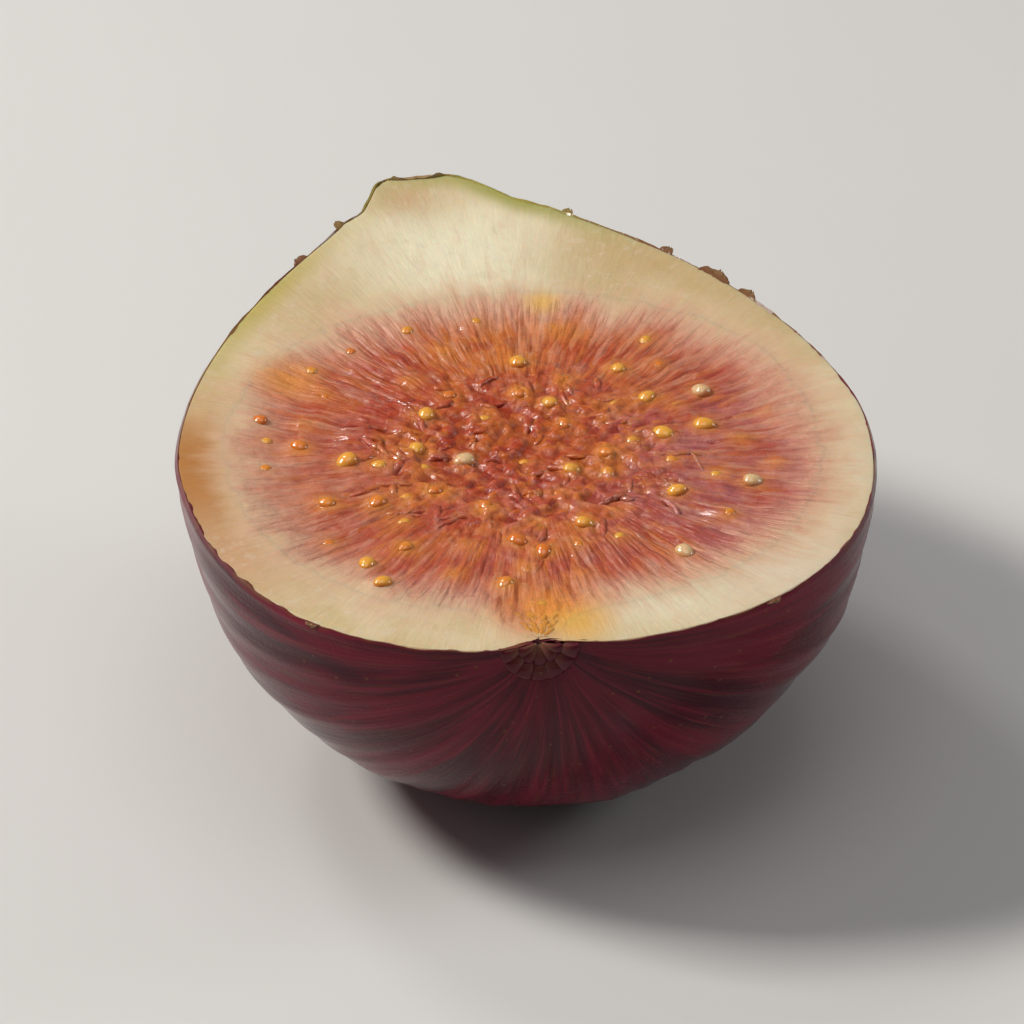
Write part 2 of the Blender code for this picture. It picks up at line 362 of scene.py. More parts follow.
def new_ball(name, sides, rings, cuts=0):
    """A unit ball with its poles up and down. Each side of its faces is then cut so many times."""
    bpy.ops.mesh.primitive_uv_sphere_add(segments=sides, ring_count=rings, radius=1.0, calc_uvs=False)
    piece = named(name)
    if cuts:
        edit_whole(piece, bpy.ops.mesh.subdivide, number_cuts=cuts)
        points = coordinates(piece)
        move_to(piece, points / np.linalg.norm(points, axis=1)[:, None])
    return piece


def new_sheet(name, columns, rows):
    """A flat sheet from -1 to 1 each way."""
    bpy.ops.mesh.primitive_grid_add(x_subdivisions=columns, y_subdivisions=rows, size=2.0, calc_uvs=False)
    return named(name)


def lay_poles_along_y(piece):
    edit_whole(piece, bpy.ops.transform.rotate, value=math.pi / 2, orient_axis="X", center_override=(0, 0, 0))


def cut_away_top(piece):
    edit_whole(piece, bpy.ops.mesh.bisect, plane_co=(0, 0, 0), plane_no=(0, 0, 1), clear_outer=True)


def face_out(piece):
    edit_whole(piece, bpy.ops.mesh.normals_make_consistent, inside=False)


def pull_rim_down(piece, steps):
    """Extrudes a sheet's rim down in unit steps and closes the last ring at its middle."""

    def pull():
        bpy.ops.mesh.region_to_loop()
        for _ in range(steps):
            bpy.ops.mesh.extrude_edges_move(TRANSFORM_OT_translate={"value": (0, 0, -1)})
        bpy.ops.mesh.merge(type="CENTER")

    edit_whole(piece, pull)


def coordinates(piece):
    flat = np.zeros(len(piece.data.vertices) * 3)
    piece.data.vertices.foreach_get("co", flat)
    return flat.reshape(-1, 3)


def move_to(piece, points):
    piece.data.vertices.foreach_set("co", np.asarray(points, dtype=np.float32).ravel())
    piece.data.update()


def store(piece, **values):
    """Keeps numbers for each vertex, under the names that the materials read them by."""
    for name, value in values.items():
        kept = piece.data.attributes.new(name, "FLOAT", "POINT")
        value = np.broadcast_to(np.asarray(value, dtype=np.float32), len(piece.data.vertices))
        kept.data.foreach_set("value", np.ascontiguousarray(value))


def smooth(piece, sharp_from=math.pi):
    """Shades a piece smoothly, apart from edges that bend by more than an angle."""
    select_only([piece])
    bpy.ops.object.shade_smooth_by_angle(angle=sharp_from)


def thicken(piece, thickness):
    """Gives a shell or sheet its thickness, inwards."""
    shell = piece.modifiers.new("thickness", "SOLIDIFY")
    shell.thickness = thickness
    shell.offset = -1.0
    select_only([piece])
    bpy.ops.object.modifier_apply(modifier=shell.name)


def fractal(points, octaves=3):
    """Smooth noise in about -1 to 1 at each point."""
    return np.array([noise.fractal(Vector(point), 1.0, 2.0, octaves) for point in points])


def plan_noise(plan, scale, octaves=3):
    """The same noise over the cut face's plan."""
    return fractal(np.column_stack((plan * scale, np.zeros(len(plan)))), octaves)


def dress(piece, material):
    piece.data.materials.append(material)
    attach(piece, "root")
    return piece


def join_copies(name, master, copies, material):
    """Joins copies of a master in one piece. Each is (points, values) and has its own mesh."""
    made = []
    for points, values in copies:
        piece = master.copy()
        piece.data = master.data.copy()
        bpy.context.scene.collection.objects.link(piece)
        move_to(piece, points)
        store(piece, **values)
        made.append(piece)
    bpy.data.objects.remove(master)
    select_only(made)
    bpy.ops.object.join()
    whole = named(name)
    face_out(whole)
    smooth(whole)
    return dress(whole, material)


# Node helpers


def put(tree, socket, value):
    if isinstance(value, bpy.types.NodeSocket):
        tree.links.new(value, socket)
    else:
        socket.default_value = (*value, 1.0) if socket.type == "RGBA" else value


def set_inputs(tree, node, values):
    for name, value in values.items():
        put(tree, node.inputs[name], value)


def new_node(tree, kind, inputs, output=0, **settings):
    """One output of a new node. Its inputs are given by name or number."""
    node = tree.nodes.new("ShaderNode" + kind)
    for name, value in settings.items():
        setattr(node, name, value)
    set_inputs(tree, node, inputs)
    return node.outputs[output]


def maths(tree, operation, first, second=0.0, third=0.0):
    return new_node(tree, "Math", {0: first, 1: second, 2: third}, operation=operation)


def vector_maths(tree, operation, first, second=(0.0, 0.0, 0.0), output=0):
    second_input = 3 if operation == "SCALE" else 1
    return new_node(tree, "VectorMath", {0: first, second_input: second}, output, operation=operation)


def spread(tree, value, low, high, to_low=0.0, to_high=1.0):
    """A value that runs smoothly from to_low to to_high as the given one runs from low to high."""
    inputs = {"Value": value, "From Min": low, "From Max": high, "To Min": to_low, "To Max": to_high}
    return new_node(tree, "MapRange", inputs, "Result", interpolation_type="SMOOTHSTEP")


def mix(tree, factor, first, second):
    return new_node(tree, "Mix", {0: factor, 6: first, 7: second}, 2, data_type="RGBA")


def blend(tree, share, first, second):
    """A number that goes from the first to the second as share goes from 0 to 1."""
    return maths(tree, "MULTIPLY_ADD", maths(tree, "SUBTRACT", second, first), share, first)


def grain(tree, vector, scale, detail=3.0, distortion=0.0):
    """Smooth noise from about 0.25 to 0.75, with scale in waves a metre."""
    inputs = {"Vector": vector, "Scale": scale, "Detail": detail, "Distortion": distortion}
    return new_node(tree, "TexNoise", inputs, "Fac")


def cells(tree, vector, scale, feature="F1"):
    return new_node(tree, "TexVoronoi", {"Vector": vector, "Scale": scale}, "Distance", feature=feature)


def cell_values(tree, vector, scale):
    """For many small cells: two numbers that each has of its own, and how far off its middle a point is."""
    off_middle = cells(tree, vector, scale)
    own = off_middle.node.outputs["Color"]
    return separate(tree, own, 0), separate(tree, own, 1), off_middle


def attribute(tree, name):
    return new_node(tree, "Attribute", {}, "Fac", attribute_name=name)


def object_place(tree):
    return new_node(tree, "TexCoord", {}, "Object")


def bump(tree, height, distance, strength):
    return new_node(tree, "Bump", {"Height": height, "Distance": distance, "Strength": strength})


def combine(tree, x, y, z):
    return new_node(tree, "CombineXYZ", {0: x, 1: y, 2: z})


def separate(tree, vector, axis):
    return new_node(tree, "SeparateXYZ", {0: vector}, axis)


def lay_tints(tree, colour, tints):
    """Lays tints over a colour, each where its value runs from low to high, up to its strength."""
    for tint, value, low, high, strength in tints:
        colour = mix(tree, spread(tree, value, low, high, 0.0, strength), colour, tint)
    return colour


def nearness(tree, place, pixel, reach):
    """1 over the place of a pixel of the photograph, falling to 0 at reach from it."""
    spot = from_pixel(pixel)
    away = vector_maths(tree, "SUBTRACT", place, (spot[0] + SHIFT[0], spot[1] + SHIFT[1], 0.0))
    away = vector_maths(tree, "MULTIPLY", away, (1.0, 1.0, 0.0))
    return spread(tree, vector_maths(tree, "LENGTH", away, output=1), 0.0, reach, 1.0, 0.0)


def tint_zones(tree, place, colour, zones, limit=None):
    """Lays each zone's colour over the given one. A limit is a mask that all the zones stay in."""
    for pixel, reach, tint, strength in zones:
        mask = maths(tree, "MULTIPLY", nearness(tree, place, pixel, reach), strength)
        if limit is not None:
            mask = maths(tree, "MULTIPLY", mask, limit)
        colour = mix(tree, mask, colour, tint)
    return colour


def new_group(name, inputs, outputs):
    """A node group, with the sockets that its own nodes read from and write to."""
    group = bpy.data.node_groups.new(name, "ShaderNodeTree")
    for way, sockets in (("INPUT", inputs), ("OUTPUT", outputs)):
        for title, kind in sockets.items():
            group.interface.new_socket(name=title, in_out=way, socket_type="NodeSocket" + kind)
    return group, group.nodes.new("NodeGroupInput").outputs, group.nodes.new("NodeGroupOutput").inputs


def use_group(tree, group, **values):
    """The outputs of a group that is set in a tree."""
    return new_node(tree, "Group", values, node_tree=group).node.outputs


def new_material(name):
    material = bpy.data.materials.new(name)
    material.use_nodes = True
    return material, material.node_tree, material.node_tree.nodes["Principled BSDF"]


# Shared patterns


def ray_place_group():
    """Coordinates drawn out along the rays from the pulp's middle. Count is how many units go round it."""
    inputs = {"Place": "Vector", "Count": "Float", "Run": "Float"}
    group, entry, leave = new_group("ray_place", inputs, {"Spot": "Vector"})
    centre = (PULP_CENTRE[0] + SHIFT[0], PULP_CENTRE[1] + SHIFT[1], 0.0)
    away = vector_maths(group, "SUBTRACT", entry["Place"], centre)
    flat = vector_maths(group, "MULTIPLY", away, (1.0, 1.0, 0.0))
    reach = vector_maths(group, "LENGTH", flat, output=1)
    around = maths(group, "DIVIDE", entry["Count"], math.tau)
    ray = vector_maths(group, "SCALE", vector_maths(group, "NORMALIZE", flat), around)
    out = combine(group, 0.0, 0.0, maths(group, "MULTIPLY", reach, entry["Run"]))
    put(group, leave["Spot"], vector_maths(group, "ADD", ray, out))
    return group


STEM_CREAM = (0.81, 0.74, 0.53)
CREAM = (0.63, 0.48, 0.26)
IVORY = (0.71, 0.56, 0.35)
PALE_IVORY = (0.73, 0.60, 0.45)
PEACH = (0.67, 0.43, 0.27)
TAN = (0.47, 0.20, 0.055)
OCHRE = (0.50, 0.34, 0.14)
LEAF_GREEN = (0.36, 0.34, 0.075)
OLIVE_YELLOW = (0.50, 0.40, 0.11)
PALE_ROSE = (0.66, 0.33, 0.22)
PINK = (0.62, 0.23, 0.145)
MAUVE = (0.45, 0.135, 0.140)
ROSE_RED = (0.49, 0.095, 0.055)
BRICK = (0.43, 0.050, 0.012)
RUST = (0.60, 0.165, 0.022)
ORANGE_BROWN = (0.64, 0.19, 0.035)
CRIMSON = (0.24, 0.016, 0.010)
AMBER = (0.76, 0.27, 0.040)
YELLOW_AMBER = (0.76, 0.43, 0.085)

# Tints by where they lie in the photograph: pixel, reach from it, colour and strength
PULP_ZONES = (
    ((696, 418), 15 * MM, MAUVE, 1.0),
    ((697, 441), 6 * MM, MAUVE, 0.6),
    ((612, 406), 13 * MM, BRICK, 1.0),
    ((618, 376), 9 * MM, ORANGE_BROWN, 0.9),
    ((655, 372), 6 * MM, ORANGE_BROWN, 0.6),
    ((546, 428), 11 * MM, PINK, 1.0),
)
FACE_SPOTS = (
    ((634, 465), 5.4 * MM, AMBER, 0.95),
    ((643, 470), 3.4 * MM, YELLOW_AMBER, 0.8),
    ((632, 367), 1.9 * MM, YELLOW_AMBER, 0.75),
    ((551, 392), 3.4 * MM, AMBER, 0.85),
    ((640, 376), 2.2 * MM, AMBER, 0.45),
    ((626, 412), 8 * MM, BRICK, 0.3),
)
FLESH_ZONES = (
    ((604, 350), 14 * MM, STEM_CREAM, 1.0),
    ((700, 450), 11 * MM, PALE_IVORY, 0.9),
    ((664, 461), 8 * MM, STEM_CREAM, 0.7),
    ((722, 420), 9 * MM, PALE_IVORY, 0.6),
    ((656, 353), 8 * MM, OCHRE, 0.7),
    ((528, 450), 8 * MM, PEACH, 0.8),
    ((538, 450), 10 * MM, TAN, 0.34),
    ((519, 418), 5.5 * MM, TAN, 0.6),
    ((554, 366), 10 * MM, OCHRE, 0.28),
    ((593, 331), 6 * MM, OCHRE, 0.5),
    ((586, 334), 3 * MM, TAN, 0.35),
)
RIM_BAND_ZONES = (
    ((518, 422), 12.5 * MM, TAN, 1.0),
    ((521, 428), 7 * MM, TAN, 0.6),
    ((690, 365), 12 * MM, OCHRE, 0.6),
)
RIM_LINE_ZONES = (
    ((540, 368), 14 * MM, OLIVE_YELLOW, 0.9),
    ((622, 331), 13 * MM, LEAF_GREEN, 0.95),
)

# Where juice stands and sparkles: pixel, reach from it and strength
WET_SPOTS = (
    ((556, 428), 12 * MM, 0.45),
    ((546, 387), 3.5 * MM, 0.8),
    ((530, 403), 3.0 * MM, 0.7),
    ((539, 434), 3.5 * MM, 0.6),
    ((555, 444), 4.0 * MM, 0.8),
    ((596, 461), 3.0 * MM, 0.6),
    ((668, 424), 4.0 * MM, 0.7),
)

# Where the pulp's mauve runs farthest into the flesh
WIDE_EDGE_PIXEL = (716, 420)


def cut_face_group(rays):
    """Colour and relief of the whole cut face, so that flesh and pulp run into each other."""
    results = {"Colour": "Color", "Height": "Float", "Wet": "Float", "Inside": "Float"}
    group, entry, leave = new_group("cut_face", {"Place": "Vector"}, results)
    place = entry["Place"]
    names = ("share", "from_skin", "tone", "crease", "glow")
    share, from_skin, tone, crease, glow = [attribute(group, name) for name in names]
    outer = spread(group, share, 0.30, 0.75)

    def on_rays(count, run):
        return use_group(group, rays, Place=place, Count=count, Run=run)["Spot"]

    def outward(middle, edge):
        """A number that goes from the first to the second on the way out from the pulp's middle."""
        return blend(group, outer, middle, edge)

    wide = grain(group, on_rays(44.0, 160.0), 1.0, 3.0, 0.3)
    fine = grain(group, on_rays(150.0, 260.0), 1.0, 3.0, 0.3)
    hair = grain(group, on_rays(380.0, 500.0), 1.0, 3.0, 0.3)
    cloud = grain(group, place, 260.0)
    blotch = grain(group, place, 520.0, 3.0, 0.5)
    speck = grain(group, place, 1500.0, 3.0, 0.4)
    fibre = outward(speck, fine)
    fine_fibre = outward(speck, hair)
    round_cells = cell_values(group, place, 1500.0)
    long_cells = cell_values(group, on_rays(230.0, 420.0), 1.0)
    pale_drupe, rusty_drupe, off_drupe = [outward(*pair) for pair in zip(round_cells, long_cells)]
    edge = share
    for waves, strength in ((wide, 0.24), (fine, 0.15), (hair, 0.07)):
        edge = maths(group, "MULTIPLY_ADD", maths(group, "SUBTRACT", waves, 0.5), strength, edge)
    edge = maths(group, "MULTIPLY_ADD", nearness(group, place, WIDE_EDGE_PIXEL, 16 * MM), -0.07, edge)

    inner = lay_tints(group, tint_zones(group, place, ROSE_RED, PULP_ZONES), (
        (RUST, cloud, 0.48, 0.60, spread(group, share, 0.9, 0.3, 0.15, 0.75)),
        (BRICK, blotch, 0.52, 0.38, 0.55),
        (PALE_ROSE, pale_drupe, 0.60, 0.95, outward(0.15, 0.42)),
        (CRIMSON, pale_drupe, 0.32, 0.05, outward(0.6, 0.30)),
        (RUST, rusty_drupe, 0.66, 0.92, outward(0.75, 0.45)),
        (PALE_ROSE, fibre, 0.54, 0.70, outward(0.25, 0.40)),
        (CRIMSON, fine_fibre, 0.44, 0.30, spread(group, share, 0.75, 1.0, 0.34, 0.16)),
        (PALE_ROSE, tone, 0.6, 1.0, outward(0.16, 0.30)),
        (BRICK, tone, 0.35, 0.0, 0.35),
    ))
    # Painted shade: crimson is laid into the creases where strands sink below those round them, and on the
    # loose strands' undersides
    creased = maths(group, "MULTIPLY", crease, spread(group, share, 1.0, 0.5, 0.0, 0.55))
    inner = mix(group, creased, inner, CRIMSON)
    inner = mix(group, glow, inner, AMBER)

    flesh = mix(group, spread(group, cloud, 0.35, 0.65), CREAM, IVORY)
    flesh = lay_tints(group, tint_zones(group, place, flesh, FLESH_ZONES), (
        (PEACH, fibre, 0.50, 0.32, 0.22),
        (PALE_IVORY, speck, 0.56, 0.68, 0.35),
        (OCHRE, blotch, 0.42, 0.30, 0.12),
    ))
    flesh = tint_zones(group, place, flesh, RIM_BAND_ZONES, spread(group, from_skin, 4.2 * MM, 1.3 * MM))
    flesh = tint_zones(group, place, flesh, RIM_LINE_ZONES, spread(group, from_skin, 2.3 * MM, 0.4 * MM))

    colour = lay_tints(group, inner, (
        (PALE_ROSE, edge, 0.74, 0.95, 0.85),
        (PEACH, edge, 0.86, 1.03, 1.0),
        (flesh, edge, 0.94, 1.14, 1.0),
    ))
    colour = tint_zones(group, place, colour, FACE_SPOTS, spread(group, fibre, 0.28, 0.50, 0.55, 1.0))
    inside = spread(group, edge, 1.06, 0.86)
    sparkling = 0.0
    for pixel, reach, strength in WET_SPOTS:
        sparkling = maths(group, "MULTIPLY_ADD", nearness(group, place, pixel, reach), strength, sparkling)
    beads = maths(group, "MULTIPLY", off_drupe, spread(group, inside, 0.3, 1.0, 0.0, -0.9))
    height = maths(group, "MULTIPLY_ADD", speck, 0.5, fine_fibre)
    height = maths(group, "MULTIPLY_ADD", height, spread(group, inside, 0.0, 1.0, 0.35, 0.9), beads)
    height = maths(group, "MULTIPLY", height, spread(group, sparkling, 0.0, 1.0, 1.0, 1.7))
    glossy = spread(group, speck, 0.42, 0.58, 0.0, spread(group, inside, 0.0, 1.0, 0.15, 1.0))
    glossy = maths(group, "MULTIPLY_ADD", sparkling, spread(group, inside, 0.0, 0.5), glossy)
    wet = maths(group, "MINIMUM", glossy, 1.0)
    for name, value in (("Colour", colour), ("Height", height), ("Wet", wet), ("Inside", inside)):
        put(group, leave[name], value)
    return group


def face_material(name, cut_face):
    """Flesh and pulp are shaded alike, so that no line shows where their meshes meet."""
    material, tree, shader = new_material(name)
    face = use_group(tree, cut_face, Place=object_place(tree))
    dry = spread(tree, face["Inside"], 0.0, 1.0, 0.50, 0.42)
    set_inputs(tree, shader, {
        "Base Color": face["Colour"],
        "Roughness": maths(tree, "MULTIPLY_ADD", face["Wet"], -0.18, dry),
        "Normal": bump(tree, face["Height"], 0.20 * MM, 0.8),
        "Specular IOR Level": 0.35,
        "Coat Weight": maths(tree, "MULTIPLY", face["Wet"], 0.80),
        "Coat Roughness": 0.08,
        "Subsurface Weight": 0.40,
        "Subsurface Radius": (1.0, 0.42, 0.24),
        "Subsurface Scale": 1.0 * MM,
    })
    return material


GOLD = (0.90, 0.42, 0.050)
DEEP_ORANGE = (0.74, 0.19, 0.020)
SEED_CREAM = (0.78, 0.53, 0.28)


def seed_material():
    material, tree, shader = new_material("fig_seed")
    place = object_place(tree)
    mottle = grain(tree, place, 1800.0, 2.0)
    colour = mix(tree, spread(tree, attribute(tree, "tone"), 0.0, 0.7), DEEP_ORANGE, GOLD)
    colour = mix(tree, attribute(tree, "pale"), colour, SEED_CREAM)
    colour = lay_tints(tree, colour, (
        (DEEP_ORANGE, mottle, 0.48, 0.30, 0.45),
        (RUST, attribute(tree, "sunk"), 0.12, 0.55, 0.9),
    ))
    set_inputs(tree, shader, {
        "Base Color": colour,
        "Roughness": spread(tree, mottle, 0.3, 0.7, 0.16, 0.30),
        "Normal": bump(tree, grain(tree, place, 3200.0, 2.0), 0.03 * MM, 0.5),
        "Coat Weight": 0.9,
        "Coat Roughness": 0.05,
        "Subsurface Weight": 0.45,
        "Subsurface Radius": (1.0, 0.5, 0.15),
        "Subsurface Scale": 0.6 * MM,
    })
    return material


AUBERGINE = (0.050, 0.0025, 0.0100)
MAROON = (0.150, 0.0050, 0.0200)
WINE = (0.240, 0.0130, 0.0330)
OLIVE_BROWN = (0.150, 0.060, 0.012)
SKIN_GREEN = (0.22, 0.22, 0.035)
SCAR_TAN = (0.34, 0.22, 0.10)
BLOOM = (0.12, 0.07, 0.11)
PURPLE_EDGE = (0.15, 0.022, 0.030)
BROWN_EDGE = (0.20, 0.085, 0.030)
TAN_EDGE = (0.34, 0.19, 0.060)
YELLOW_EDGE = (0.40, 0.34, 0.075)

RIM_ZONES = (
    ((698, 368), 14 * MM, BROWN_EDGE, 1.0),
    ((530, 385), 13 * MM, TAN_EDGE, 1.0),
    ((612, 328), 18 * MM, YELLOW_EDGE, 1.0),
)


def skin_material():
    material, tree, shader = new_material("fig_skin")
    place = object_place(tree)
    ring = combine(tree, attribute(tree, "round_x"), attribute(tree, "round_z"), 0.0)

    def along_ribs(count, length):
        run = combine(tree, 0.0, 0.0, maths(tree, "MULTIPLY", attribute(tree, "run"), length))
        return vector_maths(tree, "ADD", vector_maths(tree, "SCALE", ring, count), run)

    blotch = grain(tree, along_ribs(3.5, 6.0), 1.0, 4.0, 0.9)
    streak = grain(tree, along_ribs(24.0, 8.0), 1.0, 4.0, 0.4)
    thread = grain(tree, along_ribs(85.0, 16.0), 1.0, 3.0, 0.2)
    crackle = cells(tree, place, 1400.0, "DISTANCE_TO_EDGE")
    uneven = maths(tree, "MULTIPLY_ADD", maths(tree, "SUBTRACT", streak, 0.5), 0.7, blotch)
    uneven = maths(tree, "MULTIPLY", maths(tree, "SUBTRACT", uneven, 0.5), 34 * MM)
    stemward = maths(tree, "ADD", separate(tree, place, 1), uneven)
    colour = lay_tints(tree, AUBERGINE, (
        (MAROON, blotch, 0.32, 0.66, 1.0),
        (WINE, streak, 0.50, 0.72, 0.60),
        (AUBERGINE, streak, 0.46, 0.30, 0.65),
        (OLIVE_BROWN, thread, 0.54, 0.72, 0.30),
        (OLIVE_BROWN, stemward, 7 * MM, 21 * MM, 0.85),
        (SKIN_GREEN, stemward, 15 * MM, 26 * MM, 0.9),
        (BROWN_EDGE, cells(tree, place, 800.0), 0.14, 0.05, 0.45),
        (BLOOM, grain(tree, place, 120.0), 0.54, 0.72, 0.12),
    ))
    rim = tint_zones(tree, place, PURPLE_EDGE, RIM_ZONES)
    rim = lay_tints(tree, rim, ((BROWN_EDGE, grain(tree, place, 500.0), 0.45, 0.62, 0.6),))
    colour = mix(tree, attribute(tree, "rim"), colour, rim)
    relief = maths(tree, "MULTIPLY_ADD", spread(tree, crackle, 0.0, 0.12), 0.12, streak)
    relief = maths(tree, "MULTIPLY_ADD", thread, 0.5, relief)
    set_inputs(tree, shader, {
        "Base Color": mix(tree, attribute(tree, "scar"), colour, SCAR_TAN),
        "Roughness": maths(tree, "MULTIPLY_ADD", spread(tree, blotch, 0.35, 0.65), 0.14, 0.18),
        "Normal": bump(tree, relief, 0.10 * MM, 0.6),
        "Specular IOR Level": 0.07,
        "Coat Weight": spread(tree, attribute(tree, "rim"), 0.0, 0.8, 0.22, 0.35),
        "Coat Roughness": 0.06,
    })
    return material


# The pieces

SKIN_SIDES = 80
SKIN_RINGS = 38
FINE_CUTS = 4
STEM_CAP_SHARE = 0.035
STEM_CAP_DISH = 0.35 * MM
RAGGED_HEIGHT = 0.10 * MM
RAGGED_FADE = 0.9 * MM
RAGGED_WAVES = (900.0, 260.0)
RIM_ROUNDING = 0.18 * MM
SKIN_SHARP_FROM = math.radians(75)
VEINS = 46
VEIN_HEIGHT = 0.035 * MM
VEIN_WANDER = 2.5

# Uneven skin: waves round the fig, waves a metre along it and height
SKIN_LUMPS = (4.5, 55.0, 0.11 * MM)
SKIN_GRAIN = (17.0, 120.0, 0.05 * MM)


def make_skin(material):
    skin = new_ball("fig_skin", SKIN_SIDES, SKIN_RINGS, FINE_CUTS)
    lay_poles_along_y(skin)
    cut_away_top(skin)
    ball = coordinates(skin)
    to_stem = np.arccos(np.clip(-ball[:, 1], -1.0, 1.0)) / math.pi
    turn = np.abs(np.arctan2(-ball[:, 2], ball[:, 0]))
    on_cap = np.clip((to_stem - 1 + STEM_CAP_SHARE) / STEM_CAP_SHARE, 0.0, 1.0)
    y = along_skin(np.clip(to_stem / (1 - STEM_CAP_SHARE), 0.0, 1.0))
    ring = np.stack((np.cos(turn), np.sin(turn)), axis=1)
    lumps = fractal(np.column_stack((SKIN_LUMPS[0] * ring, SKIN_LUMPS[1] * y)))
    fine = fractal(np.column_stack((SKIN_GRAIN[0] * ring, SKIN_GRAIN[1] * y + 9.0)))
    veins = VEIN_HEIGHT * np.cos(VEINS * turn + VEIN_WANDER * lumps)
    swell = SKIN_LUMPS[2] * lumps + SKIN_GRAIN[2] * fine + veins
    swell *= np.clip(bulge(y) * 3.0, 0.15, 1.0)
    on_rim = np.abs(ball[:, 2]) < 1e-5
    swell -= RIM_ROUNDING * on_rim
    points = skin_place(y, turn, 1.0 - on_cap, swell)
    points[:, 1] -= STEM_CAP_DISH * on_cap * (1.4 - on_cap)
    below_cut = BULB_DEPTH - points[:, 2]
    ragged = fractal(points * RAGGED_WAVES[0], 2) + 0.6 * fractal(points * RAGGED_WAVES[1] + 5.0, 2)
    points[:, 2] += RAGGED_HEIGHT * ragged * np.exp(-below_cut / RAGGED_FADE)
    move_to(skin, points + SHIFT)
    scar = np.clip(on_cap * 4.0, 0.0, 1.0)
    store(skin, rim=on_rim, scar=scar, round_x=ring[:, 0], round_z=ring[:, 1], run=to_stem)
    face_out(skin)
    thicken(skin, SKIN_THICKNESS)
    flatten_rest_spot(skin)
    smooth(skin, SKIN_SHARP_FROM)
    return dress(skin, material)


def flatten_rest_spot(piece):
    """The part that the half lies on is pressed flat on the surface."""
    points = coordinates(piece)
    points[:, 2] = np.maximum(points[:, 2], 0.0)
    move_to(piece, points)


FLESH_SIDES = 140
FLESH_RINGS = 24
CAVITY_SHARE = 0.10
UNDERSIDE_SHARE = 0.10
BORDER_SHARE = 0.955
BORDER_DIP = 0.40 * MM
CAVITY_DEPTH = 5.0 * MM
UNDER_SKIN = 0.9 * MM
UNDER_FACE = 0.5 * MM
UNDERSIDE_SPREAD = 1.035


def make_flesh(material):
    """The pale layer: its cut face from the pulp to the skin, its outside, and a hollow for the pulp."""
    flesh = new_ball("fig_flesh", FLESH_SIDES, FLESH_RINGS, FINE_CUTS)
    ball = coordinates(flesh)
    down = np.arccos(np.clip(ball[:, 2], -1.0, 1.0)) / math.pi
    around = np.remainder(np.arctan2(ball[:, 1], ball[:, 0]) / math.tau, 1.0)
    edge = cut_outline(0.9 * RIM_ROUNDING, around)
    angle = np.arctan2(*(edge - PULP_CENTRE).T[::-1])
    border = PULP_CENTRE + (BORDER_SHARE * pulp_radius(angle))[:, None] * rays_at(angle)

    hollow = down < CAVITY_SHARE
    beneath = down > 1 - UNDERSIDE_SHARE
    in_hollow = np.clip(down / CAVITY_SHARE, 0.0, 1.0)
    under = np.clip((down - 1 + UNDERSIDE_SHARE) / UNDERSIDE_SHARE, 0.0, 1.0)
    across = np.clip((down - CAVITY_SHARE) / (1 - CAVITY_SHARE - UNDERSIDE_SHARE), 0.0, 1.0)
    plan = border + (edge - border) * across[:, None]
    from_border = np.where(hollow, np.sin(in_hollow * math.pi / 2), np.cos(under * math.pi / 2))
    inner = np.where(hollow[:, None], border, edge) - PULP_CENTRE
    plan = np.where((hollow | beneath)[:, None], PULP_CENTRE + inner * from_border[:, None], plan)

    height = flesh_height(plan)
    height -= np.where(hollow, CAVITY_DEPTH * np.cos(in_hollow * math.pi / 2), 0.0)
    height = np.where(beneath, underside_height(plan, height), height)
    move_to(flesh, np.column_stack((plan, height)) + SHIFT)
    store(flesh, **face_values(plan), glow=0.0, crease=0.0, tone=0.0)
    face_out(flesh)
    smooth(flesh)
    return dress(flesh, material)


def grainy_level(plan):
    """The cut face with its fine grain, which dies out at the skin."""
    grainy = 0.030 * plan_noise(plan, 700.0, 3) + 0.09 * plan_noise(plan, 110.0, 2)
    return face_level(plan) + grainy * MM * smoothstep(SKIN_DISTANCE.read(plan), 0.3 * MM, 1.5 * MM)


def flesh_height(plan):
    """Next to the pulp, the flesh dips under the pulp's edge."""
    return grainy_level(plan) - BORDER_DIP * smoothstep(share_of(plan), 0.99, BORDER_SHARE)


def underside_height(plan, height):
    """Just inside the skin, below the cut face."""
    wider = PULP_CENTRE + (plan - PULP_CENTRE) * UNDERSIDE_SPREAD
    y = np.clip(wider[:, 1], 0.0, FIG_LENGTH)
    off = (wider[:, 0] - lean(y)) / np.maximum(half_width(y), 1e-6)
    drop = np.maximum(depth(y) - UNDER_SKIN, 0.0) * np.sqrt(np.clip(1 - off**2, 0.0, 1.0))
    return np.minimum(height, np.maximum(BULB_DEPTH - UNDER_FACE - drop, REST_CUT + UNDER_FACE))


STRAND_MAP_PITCH = 0.08 * MM
STRAND_RING_STEP = 0.07
STRAND_FIRST_RING = 1.02
STRAND_MAP_MARGIN = 1.12
BARE_LIFT = -0.10 * MM
BARE_TONE = 0.4


